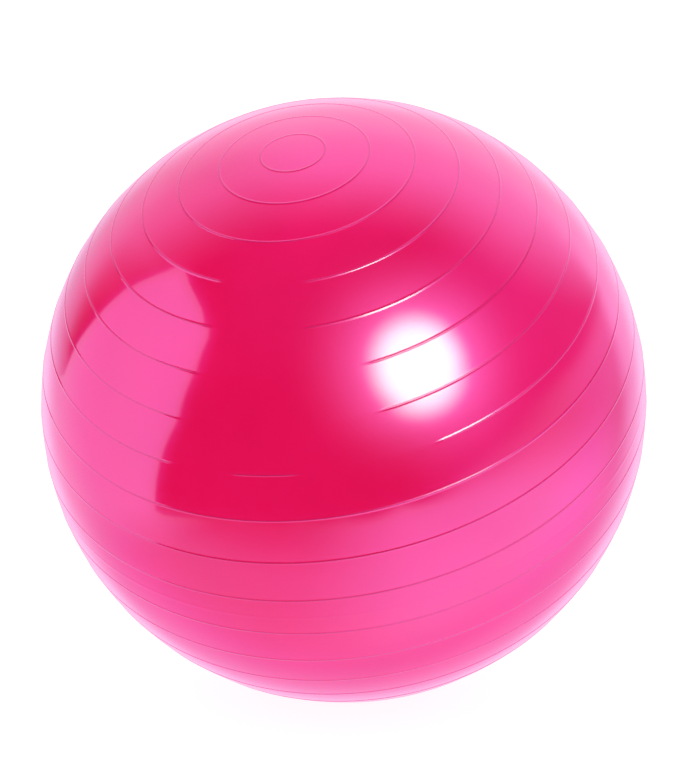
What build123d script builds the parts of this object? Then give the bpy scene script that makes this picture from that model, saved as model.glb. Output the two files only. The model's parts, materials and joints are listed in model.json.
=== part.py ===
from build123d import *
import math
import os

os.makedirs("parts", exist_ok=True)

# ---------------------------------------------------------------------------
# Inflated exercise ball with moulded ring ribs and a pull-out air plug.
# Millimetres and degrees. +Z is up, the floor is z = 0, and the origin is the
# middle of the flat patch that the ball stands on.
#
# The pieces are turned about the ball's own ring axis, in a ball frame whose
# origin is the ball's centre. Its +Z is the plain pole, and its -Z is the pole
# that holds the air valve. Colatitude is counted from the plain pole, and
# azimuth is counted about the ring axis.
# ---------------------------------------------------------------------------

# Driving dimensions: the skin
BALL_DIAMETER = 650.0
WALL = 0.8
RING_TILT = 30.0            # lean of the ring axis from the vertical, towards -X
FLOOR_PATCH_RADIUS = 28.0   # flattened by the ball's own weight at working pressure

# Driving dimensions: the ribs
RIBS_PER_HALF = 11
RIB_PITCH = 8.055           # angle between ribs, and across the smooth band at the equator
POLE_RIB_ANGLE = 5.75       # colatitude of the small ring round a pole
RIB_WIDTH = 3.2
RIB_HEIGHT = 0.4
RIB_ROOT = 0.3              # how deep a rib's section is rooted in the wall

# Driving dimensions: the smooth panel for a printed mark. Each rib that the
# panel meets, counted from the plain pole, stops for these stretches of azimuth.
PANEL_GAPS = {
    4: [(169.0, 198.0)],
    5: [(170.0, 197.0)],
    6: [(170.0, 211.0)],
    7: [(166.0, 211.0)],
    8: [(166.0, 179.0), (192.0, 220.0)],
}

# Driving dimensions: the air valve
BORE_RADIUS = 4.5
NECK_RADIUS = 8.0
NECK_LENGTH = 18.0          # from the inner face of the collar's flange
FLANGE_RADIUS = 20.0
FLANGE_THICKNESS = 3.0
BOSS_RADIUS = 13.5          # the collar's boss fills the hole in the skin
RECESS_RADIUS = 11.6
RECESS_DEPTH = 2.2
PLUG_HEAD_RADIUS = 11.0
PLUG_HEAD_THICKNESS = 1.8
PLUG_HEAD_DOME = 0.5
PLUG_STEM_RADIUS = 3.7
PLUG_STEM_LENGTH = 20.0
BARB_COUNT = 3
BARB_PITCH = 4.5
BARB_LENGTH = 2.6
BARB_CLEARANCE = 0.1        # radial, between a barb and the bore
HEAD_CLEARANCE = 0.1        # between the plug's head and the floor of its recess
TIP_CHAMFER = 1.2

# Worked out from the driving dimensions
RADIUS = BALL_DIAMETER / 2
INNER_RADIUS = RADIUS - WALL
CENTRE_HEIGHT = math.sqrt(RADIUS**2 - FLOOR_PATCH_RADIUS**2)


def stand(piece):
    """Lean a piece from the ball frame and stand it on the floor."""
    return Pos(0, 0, CENTRE_HEIGHT) * Rot(0, -RING_TILT, 0) * piece


def polar(radius, colatitude):
    """A point of a meridian section, from its distance to the centre and its colatitude."""
    angle = math.radians(colatitude)
    return (radius * math.sin(angle), 0, radius * math.cos(angle))


def above(height):
    """All the space above a height, wide enough for the whole ball."""
    size = 4 * RADIUS
    return Pos(0, 0, height + size / 2) * Box(size, size, size)


def turned(edges, start=0.0, sweep=360.0):
    """The solid that a closed meridian section makes about the ring axis."""
    section = make_face(edges)
    return Rot(0, 0, start) * revolve(section, Axis.Z, sweep)


# ---------------------------------------------------------------------------
# Skin: one hollow moulding
# ---------------------------------------------------------------------------

def rib_colatitudes():
    """Every rib's colatitude, from the plain pole to the valve pole."""
    pitches = reversed(range(RIBS_PER_HALF - 1))
    near = [POLE_RIB_ANGLE] + [90.0 - RIB_PITCH * (count + 0.5) for count in pitches]
    far = [180.0 - angle for angle in reversed(near)]
    return near + far


def rib_stretches(number):
    """Where a rib runs: pairs of start azimuth and sweep."""
    gaps = PANEL_GAPS.get(number, [])
    if not gaps:
        return [(0.0, 360.0)]
    starts = [gap[1] for gap in gaps]
    ends = [gap[0] for gap in gaps[1:]] + [gaps[0][0] + 360.0]
    return [(start, end - start) for start, end in zip(starts, ends)]


def rib(colatitude, start, sweep):
    """One rounded ridge, rooted a little way into the wall."""
    root_radius = RADIUS - RIB_ROOT
    half_width = math.degrees(RIB_WIDTH / 2 / RADIUS) * (1 + RIB_ROOT / RIB_HEIGHT) ** 0.5
    low = polar(root_radius, colatitude - half_width)
    crest = polar(RADIUS + RIB_HEIGHT, colatitude)
    high = polar(root_radius, colatitude + half_width)
    edges = [ThreePointArc(low, crest, high), Line(high, low)]
    return turned(edges, start, sweep)


def ball_skin():
    """The ribbed wall, flat where it stands, with the hole for the valve's boss."""
    outside = Sphere(RADIUS)
    for number, colatitude in enumerate(rib_colatitudes(), start=1):
        for start, sweep in rib_stretches(number):
            outside += rib(colatitude, start, sweep)
    valve_hole = Pos(0, 0, -RADIUS) * Cylinder(BOSS_RADIUS, 4 * RECESS_DEPTH)
    outside = stand(outside) & above(0)
    inside = stand(Sphere(INNER_RADIUS)) & above(WALL)
    return outside - inside - stand(valve_hole)


# ---------------------------------------------------------------------------
# Valve: a thick soft collar welded behind the skin, and its plug.
# Sections are drawn by radius and by depth below the skin at the valve pole.
# ---------------------------------------------------------------------------

def at_depth(radius, depth):
    """A point of a valve section in the ball frame."""
    return (radius, 0, depth - RADIUS)


def skin_depth(radius, shell_radius):
    """Depth of a round shell at a distance from the ring axis."""
    return RADIUS - math.sqrt(shell_radius**2 - radius**2)


def valve_socket():
    """The collar: a flange behind the skin, a boss with the plug's recess, and a neck."""
    boss_face = skin_depth(BOSS_RADIUS, RADIUS)
    boss_root = skin_depth(BOSS_RADIUS, INNER_RADIUS)
    flange_edge = skin_depth(FLANGE_RADIUS, INNER_RADIUS)
    flange_back = skin_depth(0, INNER_RADIUS) + FLANGE_THICKNESS
    neck_end = flange_back + NECK_LENGTH
    flange_middle = (BOSS_RADIUS + FLANGE_RADIUS) / 2
    flange_arc = ThreePointArc(
        at_depth(BOSS_RADIUS, boss_root),
        at_depth(flange_middle, skin_depth(flange_middle, INNER_RADIUS)),
        at_depth(FLANGE_RADIUS, flange_edge),
    )
    outline = Polyline(
        at_depth(FLANGE_RADIUS, flange_edge),
        at_depth(FLANGE_RADIUS, flange_back - FLANGE_THICKNESS / 2),
        at_depth(FLANGE_RADIUS - FLANGE_THICKNESS / 2, flange_back),
        at_depth(NECK_RADIUS, flange_back),
        at_depth(NECK_RADIUS, neck_end - TIP_CHAMFER),
        at_depth(NECK_RADIUS - TIP_CHAMFER, neck_end),
        at_depth(BORE_RADIUS, neck_end),
        at_depth(BORE_RADIUS, RECESS_DEPTH),
        at_depth(RECESS_RADIUS, RECESS_DEPTH),
        at_depth(RECESS_RADIUS, boss_face),
        at_depth(BOSS_RADIUS, boss_face),
        at_depth(BOSS_RADIUS, boss_root),
    )
    return stand(turned([flange_arc, outline]))


def barb(depth):
    """One soft barb round the stem, thin at its inner end."""
    barb_radius = BORE_RADIUS - BARB_CLEARANCE
    outline = Polyline(
        at_depth(0, depth),
        at_depth(barb_radius, depth),
        at_depth(barb_radius, depth + BARB_LENGTH / 3),
        at_depth(PLUG_STEM_RADIUS, depth + BARB_LENGTH),
        at_depth(0, depth + BARB_LENGTH),
        close=True,
    )
    return turned([outline])


def valve_plug():
    """The push-in plug: a low domed head on a barbed stem."""
    head_back = RECESS_DEPTH - HEAD_CLEARANCE
    head_rim = head_back - PLUG_HEAD_THICKNESS + PLUG_HEAD_DOME
    stem_end = head_back + PLUG_STEM_LENGTH
    dome = ThreePointArc(
        at_depth(-PLUG_HEAD_RADIUS, head_rim),
        at_depth(0, head_rim - PLUG_HEAD_DOME),
        at_depth(PLUG_HEAD_RADIUS, head_rim),
    )
    half_dome = dome.trim(0.5, 1.0)
    outline = Polyline(
        at_depth(PLUG_HEAD_RADIUS, head_rim),
        at_depth(PLUG_HEAD_RADIUS, head_back),
        at_depth(PLUG_STEM_RADIUS, head_back),
        at_depth(PLUG_STEM_RADIUS, stem_end - TIP_CHAMFER),
        at_depth(PLUG_STEM_RADIUS - TIP_CHAMFER, stem_end),
        at_depth(0, stem_end),
        at_depth(0, head_rim - PLUG_HEAD_DOME),
    )
    plug = turned([half_dome, outline])
    first_barb = stem_end - TIP_CHAMFER - BARB_LENGTH - BARB_PITCH * (BARB_COUNT - 1)
    for index in range(BARB_COUNT):
        plug += barb(first_barb + BARB_PITCH * index)
    return stand(plug)


export_step(ball_skin(), "parts/ball_skin.step")
export_step(valve_socket(), "parts/valve_socket.step")
export_step(valve_plug(), "parts/valve_plug.step")
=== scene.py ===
import json
import math

import bpy
from mathutils import Matrix, Vector, noise


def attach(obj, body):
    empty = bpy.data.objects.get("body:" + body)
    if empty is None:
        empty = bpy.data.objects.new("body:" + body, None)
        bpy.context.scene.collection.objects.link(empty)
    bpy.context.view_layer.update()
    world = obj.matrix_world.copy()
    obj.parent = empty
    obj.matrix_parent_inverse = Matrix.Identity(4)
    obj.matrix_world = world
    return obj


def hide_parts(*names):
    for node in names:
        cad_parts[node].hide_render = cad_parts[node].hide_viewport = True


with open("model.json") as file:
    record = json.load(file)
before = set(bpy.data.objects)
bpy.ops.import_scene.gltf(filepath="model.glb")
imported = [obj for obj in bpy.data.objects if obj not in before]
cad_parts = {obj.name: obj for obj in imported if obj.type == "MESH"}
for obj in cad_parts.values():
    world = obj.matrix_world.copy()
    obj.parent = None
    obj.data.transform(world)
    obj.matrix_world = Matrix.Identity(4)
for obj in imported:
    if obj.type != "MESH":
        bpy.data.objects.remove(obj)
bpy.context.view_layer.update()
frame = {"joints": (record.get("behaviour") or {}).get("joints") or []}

# ---------------------------------------------------------------------------
# Sizes, in metres and degrees. The lean of the ring axis comes from the frame.
# Colatitude is counted from the plain pole, and azimuth about the ring axis.
# ---------------------------------------------------------------------------
RADIUS = 0.325
WALL = 0.0008
FLOOR_PATCH_RADIUS = 0.028
RIBS_PER_HALF = 11
RIB_PITCH = 8.055
POLE_RIB_ANGLE = 5.75
RIB_WIDTH = 0.0032
RIB_HEIGHT = 0.0004
RIB_END_TAPER = 2.2         # degrees of azimuth over which a rib rises at the panel's edge
RIB_GUARD = 1.25            # rows this many half widths out keep a rib's shading off the skin
WAVINESS = 0.00006          # slow unevenness of the blown skin
WAVE_LENGTH = 0.13
PARTING_HEIGHT = 0.00006    # the mould's parting line round the equator
PARTING_WIDTH = 0.0009
BOSS_RADIUS = 0.0135
LIP_WIDTH = 0.0006          # the smooth-shaded edge of the skin round the valve's hole

# Where a rib stops for the smooth label panel, in degrees of azimuth
PANEL_GAPS = {
    4: [(169.0, 198.0)],
    5: [(170.0, 197.0)],
    6: [(170.0, 211.0)],
    7: [(166.0, 211.0)],
    8: [(166.0, 179.0), (192.0, 220.0)],
}

SKIN_SEGMENTS = 300
BAND_ROWS = 5               # mesh rows between two ribs
CAP_ROWS = 4                # mesh rows inside a pole's first rib
PLAIN = 0                   # marks a row that isn't on a rib, in place of the rib's number
PARTING = -1                # marks the row on the parting line
RIB_ROWS = 7                # mesh rows across a rib
INNER_STEP = 5.0            # degrees between rows of the inner face

CENTRE = Vector((0, 0, math.sqrt(RADIUS**2 - FLOOR_PATCH_RADIUS**2)))
VALVE_AXIS = Vector(frame["joints"][0]["axis"]).normalized()
RIB_HALF_ANGLE = math.degrees(RIB_WIDTH / 2 / RADIUS)
LEAN = math.atan2(VALVE_AXIS.x, -VALVE_AXIS.z)
BALL_FRAME = Matrix.Translation(CENTRE) @ Matrix.Rotation(-LEAN, 4, "Y")


# ---------------------------------------------------------------------------
# Mesh helpers
# ---------------------------------------------------------------------------

def make_object(name, vertices, faces):
    mesh = bpy.data.meshes.new(name)
    mesh.from_pydata(vertices, [], faces)
    mesh.validate()
    mesh.update()
    mesh.shade_smooth()
    piece = bpy.data.objects.new(name, mesh)
    bpy.context.scene.collection.objects.link(piece)
    return piece


def lathe(rows, segments, place):
    """Vertices and faces of a closed surface from pole to pole. Each row gives
    place(row, azimuth) for its points; the first and the last row are poles."""
    first, *rings, last = rows
    vertices = [place(first, 0.0)]
    for row in rings:
        vertices += [place(row, 360.0 * step / segments) for step in range(segments)]
    vertices.append(place(last, 0.0))
    faces = []
    end = len(vertices) - 1
    tail = end - segments
    for step in range(segments):
        after = (step + 1) % segments
        faces.append((0, 1 + step, 1 + after))
        faces.append((end, tail + after, tail + step))
    for ring in range(len(rings) - 1):
        upper = 1 + ring * segments
        lower = upper + segments
        for step in range(segments):
            after = (step + 1) % segments
            faces.append((upper + step, lower + step, lower + after, upper + after))
    return vertices, faces


def smoothstep(value):
    value = min(max(value, 0.0), 1.0)
    return value * value * (3.0 - 2.0 * value)


# ---------------------------------------------------------------------------
# Skin
# ---------------------------------------------------------------------------

RIB_ANGLES = [POLE_RIB_ANGLE]
RIB_ANGLES += [90.0 - RIB_PITCH * (pitches + 0.5) for pitches in reversed(range(RIBS_PER_HALF - 1))]
RIB_ANGLES += [180.0 - angle for angle in reversed(RIB_ANGLES)]


def rib_fade(number, azimuth):
    """How much of its height a rib has at an azimuth: 0 inside the panel, 1 outside."""
    share = 1.0
    for start, end in PANEL_GAPS.get(number, []):
        outside = max(start - azimuth, azimuth - end)
        share = min(share, smoothstep(outside / RIB_END_TAPER + 0.5))
    return share


def rib_share(row, azimuth):
    """1 on a rib's crest, 0 off the ribs."""
    number, height = row[1:3]
    return height * rib_fade(number, azimuth) if number > PLAIN else 0.0


def skin_rows():
    """Rows of the outer face as (colatitude, rib number, share of the ridge's height)."""
    guard = RIB_HALF_ANGLE * RIB_GUARD
    rows = [(0.0, PLAIN, 0.0)]
    for step in range(1, CAP_ROWS + 1):
        rows.append(((POLE_RIB_ANGLE - guard) * step / CAP_ROWS, PLAIN, 0.0))
    for number, angle in enumerate(RIB_ANGLES, start=1):
        for step in range(RIB_ROWS):
            across = 2.0 * step / (RIB_ROWS - 1) - 1.0
            height = 0.5 + 0.5 * math.cos(math.pi * across)
            rows.append((angle + RIB_HALF_ANGLE * across, number, height))
        rows.append((angle + guard, PLAIN, 0.0))
        if number == len(RIB_ANGLES):
            break
        low = angle + guard
        high = RIB_ANGLES[number] - guard
        steps = [(step + 1) / BAND_ROWS for step in range(BAND_ROWS)]
        if number == RIBS_PER_HALF:
            edge = math.degrees(PARTING_WIDTH / 2 / RADIUS) / (high - low)
            steps = sorted(steps + [0.5 - edge, 0.5, 0.5 + edge])
        for share in steps:
            on_parting = number == RIBS_PER_HALF and share == 0.5
            mark, height = (PARTING, 1.0) if on_parting else (PLAIN, 0.0)
            rows.append((low + (high - low) * share, mark, height))
    last = RIB_ANGLES[-1] + guard
    hole_edge = 180.0 - math.degrees(math.asin(BOSS_RADIUS / RADIUS))
    lip = hole_edge - math.degrees(LIP_WIDTH / RADIUS)
    for step in range(1, CAP_ROWS):
        rows.append((last + (lip - last) * step / (CAP_ROWS - 1), PLAIN, 0.0))
    rows.append((hole_edge, PLAIN, 0.0))
    return rows


def skin_point(row, azimuth):
    """A point of the skin. A row is as in skin_rows, with its depth below the outer face."""
    colatitude, number, height, depth = row
    polar = math.radians(colatitude)
    around = math.radians(azimuth)
    direction = Vector((
        math.sin(polar) * math.cos(around),
        math.sin(polar) * math.sin(around),
        math.cos(polar),
    ))
    radius = RADIUS - depth
    if depth == 0.0:
        if number == PARTING:
            radius += PARTING_HEIGHT * height
        radius += RIB_HEIGHT * rib_share(row, azimuth)
        if colatitude < 180.0 - POLE_RIB_ANGLE:     # round the valve the skin is even
            radius += WAVINESS * noise.noise(direction * RADIUS / WAVE_LENGTH)
    point = BALL_FRAME @ (direction * radius)
    point.z = max(point.z, depth)
    return point


def make_skin():
    """The one-piece moulding: ribbed outside, the edge of the valve hole, and the inner face."""
    outer = [(*row, 0.0) for row in skin_rows()]
    hole_edge = outer[-1][0]
    count = round(hole_edge / INNER_STEP)
    inner = [(hole_edge * (1 - step / count), PLAIN, 0.0, WALL) for step in range(count + 1)]
    rows = outer + inner
    vertices, faces = lathe(rows, SKIN_SEGMENTS, skin_point)
    skin = make_object("ribbed_skin", vertices, faces)
    shares, _ = lathe(rows, SKIN_SEGMENTS, rib_share)
    skin.data.attributes.new("rib", "FLOAT", "POINT").data.foreach_set("value", shares)
    return skin


# ---------------------------------------------------------------------------
# Valve: collar and plug, turned about the valve axis with rounded edges.
# Sections are (radius, depth below the skin, edge radius) points.
# ---------------------------------------------------------------------------
BORE_RADIUS = 0.0045
NECK_RADIUS = 0.008
NECK_LENGTH = 0.018
FLANGE_RADIUS = 0.020
FLANGE_THICKNESS = 0.003
RECESS_RADIUS = 0.0116
RECESS_DEPTH = 0.0022
PLUG_HEAD_RADIUS = 0.011
PLUG_HEAD_THICKNESS = 0.0018
PLUG_HEAD_DOME = 0.0005
PLUG_STEM_RADIUS = 0.0037
PLUG_STEM_LENGTH = 0.020
BARB_COUNT = 3
BARB_PITCH = 0.0045
BARB_LENGTH = 0.0026
BARB_CLEARANCE = 0.0001
HEAD_CLEARANCE = 0.0001
TIP_CHAMFER = 0.0012
EDGE_ROUND = 0.0003
VALVE_SEGMENTS = 128
DOME_STEPS = 8
ARC_STEPS = 4
ROUNDING_ROOM = 2.01            # an arc takes its side's length divided by this, at most


def rounded(section):
    """The section with each corner that has an edge radius turned into an arc."""
    out = []
    for index, (radius, depth, edge) in enumerate(section):
        here = Vector((radius, depth))
        if edge == 0.0 or index in (0, len(section) - 1):
            out.append(here)
            continue
        before = Vector(section[index - 1][:2])
        after = Vector(section[index + 1][:2])
        to_before = (before - here).normalized()
        to_after = (after - here).normalized()
        shorter = min((before - here).length, (after - here).length)
        reach = min(edge, shorter / ROUNDING_ROOM)
        start = here + to_before * reach
        end = here + to_after * reach
        for step in range(ARC_STEPS + 1):
            share = step / ARC_STEPS
            out.append(start.lerp(here, share).lerp(here.lerp(end, share), share))
    return out


def valve_point(row, azimuth):
    radius, depth = row
    around = math.radians(azimuth)
    return BALL_FRAME @ Vector((radius * math.cos(around), radius * math.sin(around), depth - RADIUS))


def skin_depth(radius, shell_radius):
    """Depth of a round shell at a distance from the valve axis."""
    return RADIUS - math.sqrt(shell_radius**2 - radius**2)


def make_collar():
    """Flange, boss with the plug's recess, and neck: a ring, so its section is closed on itself."""
    inner_face = RADIUS - WALL
    boss_face = skin_depth(BOSS_RADIUS, RADIUS)
    flange_back = WALL + FLANGE_THICKNESS
    neck_end = flange_back + NECK_LENGTH
    section = [
        (BOSS_RADIUS, skin_depth(BOSS_RADIUS, inner_face), 0.0),
        (FLANGE_RADIUS, skin_depth(FLANGE_RADIUS, inner_face), 0.0),
        (FLANGE_RADIUS, flange_back, FLANGE_THICKNESS / 2),
        (NECK_RADIUS, flange_back, EDGE_ROUND),
        (NECK_RADIUS, neck_end, TIP_CHAMFER),
        (BORE_RADIUS, neck_end, EDGE_ROUND),
        (BORE_RADIUS, RECESS_DEPTH, EDGE_ROUND * 2),
        (RECESS_RADIUS, RECESS_DEPTH, EDGE_ROUND * 2),
        (RECESS_RADIUS, boss_face, EDGE_ROUND),
        (BOSS_RADIUS, boss_face, EDGE_ROUND / 2),
        (BOSS_RADIUS, skin_depth(BOSS_RADIUS, inner_face), 0.0),
    ]
    rows = rounded(section)[:-1]
    segments = VALVE_SEGMENTS
    vertices = []
    for row in rows:
        vertices += [valve_point(row, 360.0 * step / segments) for step in range(segments)]
    faces = []
    for ring in range(len(rows)):
        upper = ring * segments
        lower = ((ring + 1) % len(rows)) * segments
        for step in range(segments):
            after = (step + 1) % segments
            faces.append((upper + step, upper + after, lower + after, lower + step))
    return make_object("air_valve_collar", vertices, faces)


def make_plug():
    """A low domed head on a barbed stem, from the middle of the head to the tip."""
    head_back = RECESS_DEPTH - HEAD_CLEARANCE
    head_rim = head_back - PLUG_HEAD_THICKNESS + PLUG_HEAD_DOME
    head_top = head_rim - PLUG_HEAD_DOME
    stem_end = head_back + PLUG_STEM_LENGTH
    barb_radius = BORE_RADIUS - BARB_CLEARANCE
    section = []
    for step in range(DOME_STEPS):
        share = step / DOME_STEPS
        section.append((PLUG_HEAD_RADIUS * share, head_top + PLUG_HEAD_DOME * share**2, 0.0))
    section += [
        (PLUG_HEAD_RADIUS, head_rim, EDGE_ROUND * 2),
        (PLUG_HEAD_RADIUS, head_back, EDGE_ROUND),
        (PLUG_STEM_RADIUS, head_back, EDGE_ROUND),
    ]
    first = stem_end - TIP_CHAMFER - BARB_LENGTH - BARB_PITCH * (BARB_COUNT - 1)
    for index in range(BARB_COUNT):
        depth = first + BARB_PITCH * index
        section += [
            (PLUG_STEM_RADIUS, depth, EDGE_ROUND / 2),
            (barb_radius, depth, EDGE_ROUND / 2),
            (barb_radius, depth + BARB_LENGTH / 3, EDGE_ROUND),
            (PLUG_STEM_RADIUS, depth + BARB_LENGTH, EDGE_ROUND),
        ]
    section += [
        (PLUG_STEM_RADIUS, stem_end - TIP_CHAMFER, EDGE_ROUND),
        (PLUG_STEM_RADIUS - TIP_CHAMFER, stem_end, EDGE_ROUND),
        (0.0, stem_end, 0.0),
    ]
    vertices, faces = lathe(rounded(section), VALVE_SEGMENTS, valve_point)
    return make_object("push_in_plug", vertices, faces)


# ---------------------------------------------------------------------------
# Materials. Each base colour is a pair of shades that it drifts between.
# ---------------------------------------------------------------------------
SKIN_SHADES = ((0.895, 0.0012, 0.065), (0.975, 0.0026, 0.086))
# Painted shade: the darker colour on the rib crests stands in for the line of shade along each rib
RIB_PAINTED_SHADE = (0.62, 0.0008, 0.012, 1.0)
PEARL_TINT = (0.28, 0.085, 0.60, 1.0)
COLLAR_SHADES = ((0.700, 0.006, 0.110), (0.800, 0.012, 0.150))
PLUG_SHADES = ((0.800, 0.785, 0.760), (0.880, 0.870, 0.850))
FLOOR_GREY = (0.3, 0.3, 0.3, 1.0)
WHITE = (1.0, 1.0, 1.0, 1.0)
SHADE_PLACES = (0.30, 0.70)     # the noise values that get the first and the second shade
SHADE_LINE_SHARPNESS = 3.0           # keeps the painted shade line to the tops of the ridges
RIB_ROUGHNESS = 0.32

# A Mix node's colour sockets have to be picked by number: other sockets share their names
COLOUR_A, COLOUR_B, COLOUR_RESULT = 6, 7, 2


def new_material(name):
    material = bpy.data.materials.new(name)
    material.use_nodes = True
    tree = material.node_tree
    return material, tree, tree.nodes["Principled BSDF"]


def object_noise(tree, scale, detail, roughness=0.5):
    """A noise pattern fixed to the object, with its size set in object space."""
    coordinates = tree.nodes.new("ShaderNodeTexCoord")
    pattern = tree.nodes.new("ShaderNodeTexNoise")
    pattern.inputs["Scale"].default_value = scale
    pattern.inputs["Detail"].default_value = detail
    pattern.inputs["Roughness"].default_value = roughness
    tree.links.new(coordinates.outputs["Object"], pattern.inputs["Vector"])
    return pattern.outputs["Fac"]


def clouded(tree, pattern, shades):
    """A colour that drifts between two shades with a noise pattern."""
    node = tree.nodes.new("ShaderNodeValToRGB")
    for element, place, shade in zip(node.color_ramp.elements, SHADE_PLACES, shades):
        element.position = place
        element.color = (*shade, 1.0)
    tree.links.new(pattern, node.inputs["Fac"])
    return node.outputs["Color"]


def map_range(tree, value, low, high):
    node = tree.nodes.new("ShaderNodeMapRange")
    node.inputs["To Min"].default_value = low
    node.inputs["To Max"].default_value = high
    tree.links.new(value, node.inputs["Value"])
    return node.outputs["Result"]


def bump(tree, height, strength, distance, before=None):
    node = tree.nodes.new("ShaderNodeBump")
    node.inputs["Strength"].default_value = strength
    node.inputs["Distance"].default_value = distance
    tree.links.new(height, node.inputs["Height"])
    if before is not None:
        tree.links.new(before, node.inputs["Normal"])
    return node.outputs["Normal"]


def skin_colour_with_rib_shade(tree, rib_share):
    """The skin's clouded colour, with a painted shade line darkening the tops of the ridges."""
    crest = tree.nodes.new("ShaderNodeMath")
    crest.operation = "POWER"
    crest.inputs[1].default_value = SHADE_LINE_SHARPNESS
    tree.links.new(rib_share, crest.inputs[0])
    # Painted shade: the rib crests get a darker colour that stands in for the shade along each rib
    node = tree.nodes.new("ShaderNodeMix")
    node.data_type = "RGBA"
    node.inputs[COLOUR_B].default_value = RIB_PAINTED_SHADE
    cloud = object_noise(tree, scale=9.0, detail=4.0)
    tree.links.new(crest.outputs[0], node.inputs["Factor"])
    tree.links.new(clouded(tree, cloud, SKIN_SHADES), node.inputs[COLOUR_A])
    return node.outputs[COLOUR_RESULT]


def skin_roughness(tree, rib_share):
    """Glossy with fine unevenness, and satin on the ribs."""
    fine = object_noise(tree, scale=160.0, detail=3.0, roughness=0.6)
    node = tree.nodes.new("ShaderNodeMix")
    node.inputs["B"].default_value = RIB_ROUGHNESS
    tree.links.new(rib_share, node.inputs["Factor"])
    tree.links.new(map_range(tree, fine, low=0.13, high=0.20), node.inputs["A"])
    return node.outputs["Result"]


def skin_material():
    """Glossy pearl PVC: a crimson body, a tinted pearl gloss on it, and a clear gloss over all."""
    material, tree, shader = new_material("pearl_pink_pvc")
    rib = tree.nodes.new("ShaderNodeAttribute")
    rib.attribute_name = "rib"
    tree.links.new(skin_colour_with_rib_shade(tree, rib.outputs["Fac"]), shader.inputs["Base Color"])
    tree.links.new(skin_roughness(tree, rib.outputs["Fac"]), shader.inputs["Roughness"])
    waves = object_noise(tree, scale=55.0, detail=2.0)
    pores = object_noise(tree, scale=900.0, detail=2.0)
    peel = bump(tree, waves, strength=0.03, distance=0.0004)
    grain = bump(tree, pores, strength=0.05, distance=0.0001, before=peel)
    tree.links.new(grain, shader.inputs["Normal"])
    tree.links.new(peel, shader.inputs["Coat Normal"])
    shader.inputs["IOR"].default_value = 2.5
    shader.inputs["Specular IOR Level"].default_value = 0.9
    shader.inputs["Specular Tint"].default_value = PEARL_TINT
    shader.inputs["Coat Weight"].default_value = 1.0
    shader.inputs["Coat Roughness"].default_value = 0.05
    shader.inputs["Coat IOR"].default_value = 1.5
    return material


def collar_material():
    """The skin's compound without its pearl, with a satin moulded face."""
    material, tree, shader = new_material("satin_crimson_pvc")
    cloud = object_noise(tree, scale=140.0, detail=4.0)
    grain = object_noise(tree, scale=1800.0, detail=3.0)
    tree.links.new(clouded(tree, cloud, COLLAR_SHADES), shader.inputs["Base Color"])
    tree.links.new(map_range(tree, grain, low=0.34, high=0.50), shader.inputs["Roughness"])
    tree.links.new(bump(tree, grain, strength=0.25, distance=0.00008), shader.inputs["Normal"])
    shader.inputs["Coat Weight"].default_value = 0.25
    shader.inputs["Coat Roughness"].default_value = 0.2
    return material


def plug_material():
    """Soft milky PVC with a finely textured face."""
    material, tree, shader = new_material("milky_white_pvc")
    cloud = object_noise(tree, scale=220.0, detail=3.0)
    grain = object_noise(tree, scale=2200.0, detail=3.0)
    tree.links.new(clouded(tree, cloud, PLUG_SHADES), shader.inputs["Base Color"])
    tree.links.new(map_range(tree, grain, low=0.32, high=0.46), shader.inputs["Roughness"])
    tree.links.new(bump(tree, grain, strength=0.25, distance=0.00006), shader.inputs["Normal"])
    shader.inputs["Subsurface Weight"].default_value = 0.25
    shader.inputs["Subsurface Radius"].default_value = (0.002, 0.0016, 0.0014)
    shader.inputs["Subsurface Scale"].default_value = 1.0
    return material


def floor_material():
    """Matt white that glows a little, so that it runs into the backdrop."""
    material, _, shader = new_material("white_sweep")
    shader.inputs["Base Color"].default_value = FLOOR_GREY
    shader.inputs["Roughness"].default_value = 0.9
    shader.inputs["Specular IOR Level"].default_value = 0.0
    shader.inputs["Emission Color"].default_value = WHITE
    shader.inputs["Emission Strength"].default_value = 0.9
    return material


# ---------------------------------------------------------------------------
# Camera: the photograph's viewing angle
# ---------------------------------------------------------------------------
CAMERA_AZIMUTH = 288.2
CAMERA_ELEVATION = 11.3
CAMERA_DISTANCE = 2.334
CAMERA_LENS = 102.2
CAMERA_SHIFT = (-0.0030, 0.0276)
CAMERA_CLIP = (0.1, 500.0)


def camera_back(azimuth, elevation):
    """The direction from the ball to a camera, with azimuth 0 on the -Y side."""
    around = math.radians(azimuth)
    rise = math.radians(elevation)
    return Vector((
        math.sin(around) * math.cos(rise),
        -math.cos(around) * math.cos(rise),
        math.sin(rise),
    ))


def make_camera():
    data = bpy.data.cameras.new("camera")
    data.lens = CAMERA_LENS
    data.shift_x, data.shift_y = CAMERA_SHIFT
    data.clip_start, data.clip_end = CAMERA_CLIP
    camera = bpy.data.objects.new("camera", data)
    back = camera_back(CAMERA_AZIMUTH, CAMERA_ELEVATION)
    camera.location = CENTRE + back * CAMERA_DISTANCE
    camera.rotation_mode = "QUATERNION"
    camera.rotation_quaternion = (-back).to_track_quat("-Z", "Y")
    bpy.context.scene.collection.objects.link(camera)
    bpy.context.scene.camera = camera


# ---------------------------------------------------------------------------
# Studio: a white sweep, and the soft light round it as a painted world, fixed
# in the studio. A place in it is a direction from the ball. Its angle is
# counted off the camera's heading, so it is 0 towards the camera's side and 180
# straight behind the ball, and its roll is counted about that heading, from
# straight up towards the camera's right. Both are in degrees. Its height and
# its side are parts of the direction: height 1 is straight up, and side 1 is
# straight to the camera's right. Its depth is how many degrees it is inside the
# dark room's edge, and is below 0 beyond it.
#
# A tuple with BY in its name is a soft step for Painter.soft. While that measure
# of a place goes from the first number to the second, the result goes from 0 to
# 1, or from the third number to the fourth.
# ---------------------------------------------------------------------------

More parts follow.
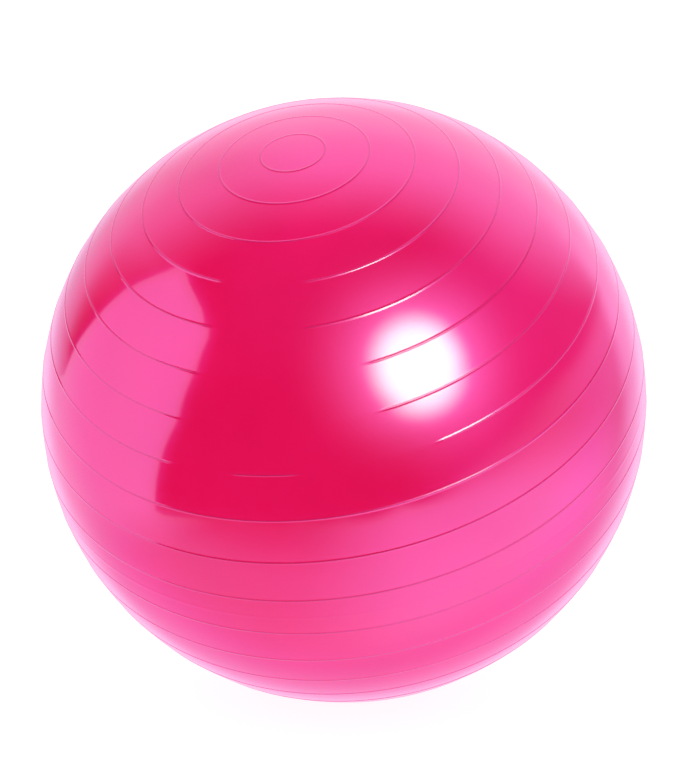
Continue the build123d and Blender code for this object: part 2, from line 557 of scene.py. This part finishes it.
# The unlit room is everything nearer than this edge, a list of (roll, angle)
DARK_ROOM_EDGE = [
    (-180, 33), (-156, 37), (-133, 51), (-125, 64), (-118, 80), (-100, 120), (-87, 129), (-75, 124),
    (-64, 115), (-56, 103), (-36, 97), (0, 92), (24, 94), (48, 98), (61, 107), (68, 116), (75, 127),
    (80, 108), (84, 90), (88, 79), (99, 64), (115, 50), (145, 35), (180, 33),
]
DARK_SOFTNESS_BY_HEIGHT = (-0.1, 0.45, 2.5, 20.0)
DARK_SOFTNESS_BY_SIDE = (0.45, 0.9, 2.5, 14.0)
UPPER_GLOOM_BY_HEIGHT = (0.1, 0.8, 0.0, 0.08)
UPPER_GLOOM_BY_SIDE = (-0.9, -0.4)
GLOOM_BY_SIDE = (0.3, 0.8, 0.01, 0.22)

# The softbox at the left, between two edges given as (roll, angle)
SOFTBOX_OUTER_EDGE = [
    (-150, 179), (-100, 179), (-97, 136), (-94, 129), (-86, 124), (-77, 116), (-66, 107), (-58, 98),
    (-50, 90),
]
SOFTBOX_INNER_EDGE = [
    (-150, 40), (-140, 46), (-133, 54), (-125, 68), (-120, 82), (-103, 70), (-91, 62), (-71, 59),
    (-58, 61), (-53, 71), (-50, 89),
]
SOFTBOX_SOFTNESS = 1.0
SOFTBOX_FOOT_BY_ROLL = (-132.0, -116.0)
SOFTBOX_LIGHT_BY_ANGLE = (75.0, 115.0, 1.45, 1.15)
SOFTBOX_TINT_BY_ANGLE = (85.0, 115.0)
SOFTBOX_INTO_SWEEP_BY_ANGLE = (126.0, 150.0)

# The round lamp, and the glow of its diffuser out to HALO_RADIUS
LAMP_AZIMUTH = CAMERA_AZIMUTH + 29.0
LAMP_ELEVATION = 22.0
LAMP_RADIUS = 15.5
LAMP_SOFTNESS = 6.0
LAMP_LIGHT = 15.0
HALO_RADIUS = 62.0
HALO_SHARPNESS = 3.0
HALO_BY_HEIGHT = (-0.3, 0.15, 0.7, 1.9)

# The sweep: near and midway past the dark room's edge (left, right), and far off
SWEEP_BY_SIDE = (-0.35, 0.45)
SWEEP_NEAR_LIGHT = (0.28, 1.35)
SWEEP_MIDWAY_LIGHT = (0.74, 1.56)
SWEEP_FAR_LIGHT_BY_HEIGHT = (-0.98, -0.75, 0.80, 0.90)
SWEEP_NEAR_BY_DEPTH = (-28.0, -2.0)
SWEEP_MIDWAY_BY_DEPTH = (-76.0, -40.0)
SWEEP_MIDWAY_BY_ANGLE = (118.0, 145.0, 1.0, 0.0)

# Shade on the right of the sweep, the sky over it, a little more light far back, and a
# dimmer stretch at the left
SHADE_BY_SIDE = (0.5, 0.85)
SHADE_BY_HEIGHT = (-0.45, -0.05, 0.0, 0.55)
SHADE_BY_ANGLE = (121.0, 135.0, 1.0, 0.1)
SKY_BY_HEIGHT = (-0.1, 0.9)
SKY_LIGHT_BY_ANGLE = (130.0, 155.0, 1.3, 0.95)
BACK_LIGHT_BY_ANGLE = (125.0, 150.0, 1.0, 1.12)
DIM_BY_SIDE = (-0.5, -0.1, 0.34, 0.0)
DIM_FOOT_BY_HEIGHT = (-0.15, 0.05)
DIM_TOP_BY_HEIGHT = (0.15, 0.45, 1.0, 0.8)

# Tints, each a share of red, green and blue light
LAMP_COLOUR = (0.4, 1.0, 0.26)
HALO_COLOUR = (1.1, 0.9, 0.98)
GLOOM_COLOUR = (1.6, 0.7, 1.6)
BEHIND_COLOUR = (1.15, 0.86, 1.27)   # the sweep and the sky behind the ball
ASIDE_COLOUR = (1.2, 1.08, 1.42)     # the same, far round and not low down
SOFTBOX_COLOUR = (1.0, 0.88, 1.1)    # the softbox's far part
EDGE_COLOUR = (0.85, 0.56, 0.62)     # what is nearly straight behind the ball, as the camera sees it
BEHIND_BY_ANGLE = (80.0, 110.0)
BEHIND_BY_HEIGHT = (-0.1, 0.8, 1.0, 0.2)
ASIDE_BY_ANGLE = (118.0, 136.0)
ASIDE_BY_HEIGHT = (-0.65, -0.4)
EDGE_BY_ANGLE = (148.0, 170.0)       # counted off the camera's own line of sight

BACKDROP_LIGHT = 1.15                # what the camera sees behind the ball
FILL_LIGHT = 0.95                    # what lights matt surfaces
CURVE_DROP = 0.2                     # degrees of roll in which an edge drops to where it is outside
HALF_TURN = 180.0

FLOOR_RADIUS = 80.0
FLOOR_CORNERS = 64
OVERHEAD_SIZE = 2.4
OVERHEAD_HEIGHT = 2.6                # above the ball's centre
OVERHEAD_POWER = 14.0


class Painter:
    """Short names for the maths nodes of the world's picture of the studio."""

    def __init__(self, tree):
        self.tree = tree

    def feed(self, socket, value):
        if isinstance(value, (int, float)):
            socket.default_value = value
        else:
            self.tree.links.new(value, socket)

    def math(self, operation, *values):
        node = self.tree.nodes.new("ShaderNodeMath")
        node.operation = operation
        for socket, value in zip(node.inputs, values):
            self.feed(socket, value)
        return node.outputs[0]

    def times(self, first, *others):
        """The product of two or more values."""
        product = first
        for other in others:
            product = self.math("MULTIPLY", product, other)
        return product

    def less(self, value, share):
        """The value with a share of it taken away."""
        return self.times(value, self.math("SUBTRACT", 1.0, share))

    def along(self, vector, axis):
        node = self.tree.nodes.new("ShaderNodeVectorMath")
        node.operation = "DOT_PRODUCT"
        self.tree.links.new(vector, node.inputs[0])
        node.inputs[1].default_value = axis
        return node.outputs["Value"]

    def angle_off(self, vector, axis):
        """Degrees between a direction and an axis."""
        return self.math("DEGREES", self.math("ARCCOSINE", self.along(vector, axis)))

    def soft(self, value, low, high, start=0.0, end=1.0):
        """A smooth change from start to end as value goes from low to high."""
        node = self.tree.nodes.new("ShaderNodeMapRange")
        node.interpolation_type = "SMOOTHSTEP"
        names = ("Value", "From Min", "From Max", "To Min", "To Max")
        for name, number in zip(names, (value, low, high, start, end)):
            self.feed(node.inputs[name], number)
        return node.outputs["Result"]

    def curve(self, roll, points, outside):
        """An angle as a curve of roll; outside is its value where the points don't reach."""
        node = self.tree.nodes.new("ShaderNodeFloatCurve")
        curve = node.mapping.curves[0]
        first, last = points[0][0], points[-1][0]
        before = [(-HALF_TURN, outside), (first - CURVE_DROP, outside)] if first > -HALF_TURN else []
        after = [(last + CURVE_DROP, outside), (HALF_TURN, outside)] if last < HALF_TURN else []
        turn = 2 * HALF_TURN
        places = [(x / turn + 0.5, y / HALF_TURN) for x, y in [*before, *points, *after]]
        while len(curve.points) < len(places):
            curve.points.new(0.5, 0.5)
        for point, place in zip(curve.points, places):
            point.location = place
            point.handle_type = "VECTOR"
        node.mapping.update()
        self.feed(node.inputs["Value"], self.math("MULTIPLY_ADD", roll, 1 / turn, 0.5))
        return self.math("MULTIPLY", node.outputs["Value"], HALF_TURN)

    def edge(self, nearer, farther, softness):
        """1 where the first angle is the smaller, 0 past the second, and soft between."""
        return self.soft(self.math("SUBTRACT", farther, nearer), -softness, softness)

    def mix(self, share, low, high):
        node = self.tree.nodes.new("ShaderNodeMix")
        node.data_type = "FLOAT"
        for name, value in zip(("Factor", "A", "B"), (share, low, high)):
            self.feed(node.inputs[name], value)
        return node.outputs["Result"]


class Place:
    """Where a direction points in the studio."""

    def __init__(self, tree, paint):
        heading = camera_back(CAMERA_AZIMUTH, 0)
        right = heading.cross(Vector((0, 0, -1)))
        self.direction = tree.nodes.new("ShaderNodeTexCoord").outputs["Generated"]
        self.side = paint.along(self.direction, right)
        self.height = paint.along(self.direction, Vector((0, 0, 1)))
        self.angle = paint.angle_off(self.direction, heading)
        self.roll = paint.math("DEGREES", paint.math("ARCTAN2", self.side, self.height))


def paint_dark_room(paint, place):
    """How many degrees a place is inside the dark room's edge, and its share of the room's dark."""
    depth = paint.math("SUBTRACT", paint.curve(place.roll, DARK_ROOM_EDGE, 0), place.angle)
    softness = paint.math(
        "MAXIMUM",
        paint.soft(place.height, *DARK_SOFTNESS_BY_HEIGHT),
        paint.soft(place.side, *DARK_SOFTNESS_BY_SIDE),
    )
    return depth, paint.soft(depth, paint.math("MULTIPLY", softness, -1.0), softness)


def paint_gloom(paint, place):
    """The little light that there is inside the dark room."""
    upper = paint.times(
        paint.soft(place.height, *UPPER_GLOOM_BY_HEIGHT),
        paint.soft(place.side, *UPPER_GLOOM_BY_SIDE),
    )
    return paint.math("ADD", upper, paint.soft(place.side, *GLOOM_BY_SIDE))


def paint_softbox(paint, place):
    """1 on the softbox, 0 off it."""
    outer = paint.curve(place.roll, SOFTBOX_OUTER_EDGE, 0)
    inner = paint.curve(place.roll, SOFTBOX_INNER_EDGE, HALF_TURN)
    return paint.times(
        paint.edge(place.angle, outer, SOFTBOX_SOFTNESS),
        paint.edge(inner, place.angle, SOFTBOX_SOFTNESS),
        paint.soft(place.roll, *SOFTBOX_FOOT_BY_ROLL),
    )


def paint_lamp(paint, place):
    """The light of the round lamp, and the glow round it."""
    off_lamp = paint.angle_off(place.direction, camera_back(LAMP_AZIMUTH, LAMP_ELEVATION))
    rim = LAMP_RADIUS - LAMP_SOFTNESS
    lamp = paint.soft(off_lamp, rim, LAMP_RADIUS + LAMP_SOFTNESS, LAMP_LIGHT, 0.0)
    glow = paint.math("POWER", paint.soft(off_lamp, rim, HALO_RADIUS, 1.0, 0.0), HALO_SHARPNESS)
    return lamp, paint.times(glow, paint.soft(place.height, *HALO_BY_HEIGHT))


def paint_sweep(paint, place, depth):
    """The light of the sweep and of the sky over it."""
    by_side = paint.soft(place.side, *SWEEP_BY_SIDE)
    near = paint.mix(by_side, *SWEEP_NEAR_LIGHT)
    midway = paint.mix(by_side, *SWEEP_MIDWAY_LIGHT)
    far = paint.soft(place.height, *SWEEP_FAR_LIGHT_BY_HEIGHT)
    within_midway = paint.times(
        paint.soft(depth, *SWEEP_MIDWAY_BY_DEPTH),
        paint.soft(place.angle, *SWEEP_MIDWAY_BY_ANGLE),
    )
    sweep = paint.mix(paint.soft(depth, *SWEEP_NEAR_BY_DEPTH), midway, near)
    sweep = paint.mix(within_midway, far, sweep)
    shade = paint.times(
        paint.soft(place.side, *SHADE_BY_SIDE),
        paint.soft(place.height, *SHADE_BY_HEIGHT),
        paint.soft(place.angle, *SHADE_BY_ANGLE),
    )
    sky = paint.soft(place.angle, *SKY_LIGHT_BY_ANGLE)
    light = paint.mix(paint.soft(place.height, *SKY_BY_HEIGHT), paint.less(sweep, shade), sky)
    light = paint.times(light, paint.soft(place.angle, *BACK_LIGHT_BY_ANGLE))
    dim = paint.times(
        paint.soft(place.side, *DIM_BY_SIDE),
        paint.soft(place.height, *DIM_FOOT_BY_HEIGHT),
        paint.soft(place.height, *DIM_TOP_BY_HEIGHT),
    )
    return paint.less(light, dim)


def make_world():
    """The studio for glossy rays, a plain backdrop for the camera, and an even fill for the rest."""
    world = bpy.data.worlds.new("studio")
    bpy.context.scene.world = world
    world.use_nodes = True
    tree = world.node_tree
    paint = Painter(tree)
    place = Place(tree, paint)

    depth, dark = paint_dark_room(paint, place)
    gloom = paint_gloom(paint, place)
    softbox = paint_softbox(paint, place)
    box_light = paint.soft(place.angle, *SOFTBOX_LIGHT_BY_ANGLE)
    box_far = paint.soft(place.angle, *SOFTBOX_TINT_BY_ANGLE)
    box_past = paint.soft(place.angle, *SOFTBOX_INTO_SWEEP_BY_ANGLE)
    lamp, halo = paint_lamp(paint, place)
    sweep = paint_sweep(paint, place, depth)
    behind = paint.times(
        paint.soft(place.angle, *BEHIND_BY_ANGLE), paint.soft(place.height, *BEHIND_BY_HEIGHT)
    )
    aside = paint.times(
        paint.soft(place.angle, *ASIDE_BY_ANGLE), paint.soft(place.height, *ASIDE_BY_HEIGHT)
    )
    off_view = paint.angle_off(place.direction, camera_back(CAMERA_AZIMUTH, CAMERA_ELEVATION))
    edge_on = paint.soft(off_view, *EDGE_BY_ANGLE)

    path = tree.nodes.new("ShaderNodeLightPath")
    colour = tree.nodes.new("ShaderNodeCombineColor")
    tints = zip(
        LAMP_COLOUR, HALO_COLOUR, GLOOM_COLOUR, BEHIND_COLOUR, ASIDE_COLOUR, SOFTBOX_COLOUR, EDGE_COLOUR
    )
    for socket, tint in zip(colour.inputs, tints):
        lamp_tint, halo_tint, gloom_tint, behind_tint, aside_tint, box_tint, edge_tint = tint
        sweep_tint = paint.mix(behind, 1.0, paint.mix(aside, behind_tint, aside_tint))
        sweep_light = paint.times(sweep, sweep_tint)
        tinted_box = paint.times(box_light, paint.mix(box_far, 1.0, box_tint))
        studio = paint.mix(dark, sweep_light, paint.times(gloom, gloom_tint))
        studio = paint.mix(softbox, studio, paint.mix(box_past, tinted_box, sweep_light))
        studio = paint.times(studio, paint.mix(edge_on, 1.0, edge_tint))
        studio = paint.math("MULTIPLY_ADD", lamp, lamp_tint, studio)
        studio = paint.math("MULTIPLY_ADD", halo, halo_tint, studio)
        indirect = paint.mix(path.outputs["Is Glossy Ray"], FILL_LIGHT, studio)
        paint.feed(socket, paint.mix(path.outputs["Is Camera Ray"], indirect, BACKDROP_LIGHT))
    tree.links.new(colour.outputs[0], tree.nodes["Background"].inputs["Color"])


def make_floor():
    """The white sweep that the ball stands on: a disc so wide that its edge doesn't show."""
    corners = []
    for step in range(FLOOR_CORNERS):
        around = 2 * math.pi * step / FLOOR_CORNERS
        corners.append((FLOOR_RADIUS * math.cos(around), FLOOR_RADIUS * math.sin(around), 0))
    floor = make_object("floor", corners, [tuple(range(FLOOR_CORNERS))])
    floor.data.materials.append(floor_material())
    floor.visible_glossy = False


def make_overhead_light():
    """One wide soft lamp above, for a gentle fall of light from top to bottom."""
    data = bpy.data.lights.new("overhead", "AREA")
    data.shape = "DISK"
    data.size = OVERHEAD_SIZE
    data.energy = OVERHEAD_POWER
    lamp = bpy.data.objects.new("overhead", data)
    lamp.location = CENTRE + Vector((0, 0, OVERHEAD_HEIGHT))
    lamp.visible_camera = False
    lamp.visible_glossy = False
    bpy.context.scene.collection.objects.link(lamp)


# ---------------------------------------------------------------------------
# Assembly
# ---------------------------------------------------------------------------

def dress(piece, material, body, node):
    piece.data.materials.append(material)
    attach(piece, body)
    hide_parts(node)


dress(make_skin(), skin_material(), "ball", "ball_skin")
dress(make_collar(), collar_material(), "ball", "valve_socket")
dress(make_plug(), plug_material(), "plug", "valve_plug")
make_floor()
make_world()
make_overhead_light()
make_camera()
bpy.context.scene.view_settings.view_transform = "Standard"
